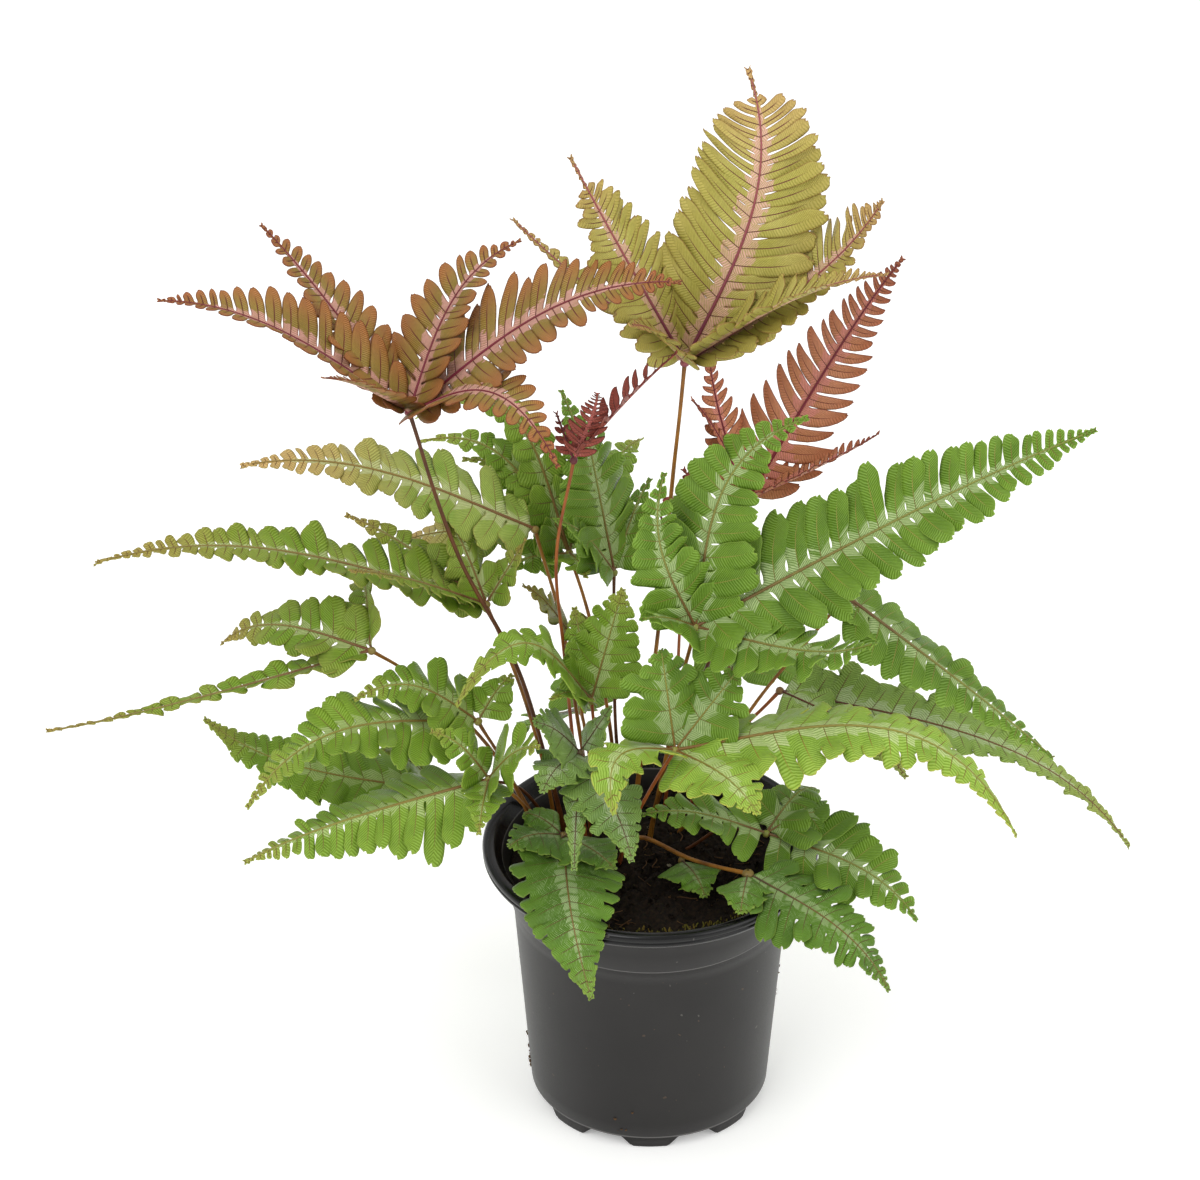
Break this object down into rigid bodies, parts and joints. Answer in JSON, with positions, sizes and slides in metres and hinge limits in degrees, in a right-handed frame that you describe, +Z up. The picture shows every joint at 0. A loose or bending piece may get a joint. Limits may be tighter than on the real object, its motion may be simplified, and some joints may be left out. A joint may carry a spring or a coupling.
{
  "type": "potted fern",
  "caption": "Candy striped brake fern in a plastic nursery pot: arching, deeply lobed striped fronds on wiry stems, the young ones bronze, pink and red.",
  "frame": {"origin": "on the table under the middle of the pot", "axes": "+Z up, +X to the right and +Y to the back, as the plant is seen in its picture"},
  "size_m": [0.3843, 0.2095, 0.3872],
  "materials": {
    "pot_plastic": "satin moulded plastic, charcoal",
    "potting_mix": "damp, crumbly",
    "brown_stipe": "wiry, smooth and glossy, dark brown",
    "golden_stipe": "wiry, smooth and glossy, straw brown",
    "reddish_stipe": "wiry, smooth and glossy, reddish",
    "leaf_green": "leathery leaf, satin, with a pale stripe along each rib",
    "leaf_fresh": "soft new leaf, satin, with a pale stripe along each rib",
    "leaf_dark": "leathery leaf, satin, with brown ribs",
    "leaf_bronze": "thin young leaf, satin, with a pink stripe along each rib",
    "leaf_gold": "thin young leaf, satin, with a pink stripe along each rib",
    "leaf_red": "thin young leaf, satin, with a pink stripe along each rib"
  },
  "bodies": {
    "root": {"pot": "pot_plastic", "soil": "potting_mix", "bronze_stipe": "brown_stipe", "bronze_blade": "leaf_bronze", "gold_stipe": "golden_stipe", "gold_blade": "leaf_gold", "young_red_stipe": "reddish_stipe", "young_red_blade": "leaf_red", "red_stipe": "brown_stipe", "red_blade": "leaf_red", "crozier_stipe": "reddish_stipe", "crozier_blade": "leaf_red", "back_left_stipe": "golden_stipe", "back_left_blade": "leaf_green", "back_stipe": "golden_stipe", "back_blade": "leaf_green", "middle_stipe": "brown_stipe", "middle_blade": "leaf_green", "left_stipe": "golden_stipe", "left_blade": "leaf_green", "far_left_stipe": "golden_stipe", "far_left_blade": "leaf_green", "low_left_stipe": "golden_stipe", "low_left_blade": "leaf_green", "light_left_stipe": "reddish_stipe", "light_left_blade": "leaf_fresh", "olive_middle_stipe": "golden_stipe", "olive_middle_blade": "leaf_gold", "rim_left_stipe": "golden_stipe", "rim_left_blade": "leaf_green", "low_back_left_stipe": "brown_stipe", "low_back_left_blade": "leaf_dark", "big_right_stipe": "golden_stipe", "big_right_blade": "leaf_green", "far_right_stipe": "reddish_stipe", "far_right_blade": "leaf_dark", "right_stipe": "golden_stipe", "right_blade": "leaf_green", "bright_front_stipe": "reddish_stipe", "bright_front_blade": "leaf_fresh", "grey_front_stipe": "brown_stipe", "grey_front_blade": "leaf_dark", "over_rim_stipe": "brown_stipe", "over_rim_blade": "leaf_dark", "low_right_stipe": "golden_stipe", "low_right_blade": "leaf_dark", "mottled_right_stipe": "brown_stipe", "mottled_right_blade": "leaf_green", "small_front_stipe": "brown_stipe", "small_front_blade": "leaf_dark", "low_back_stipe": "golden_stipe", "low_back_blade": "leaf_green", "low_back_right_stipe": "golden_stipe", "low_back_right_blade": "leaf_green"}
  },
  "joints": []
}
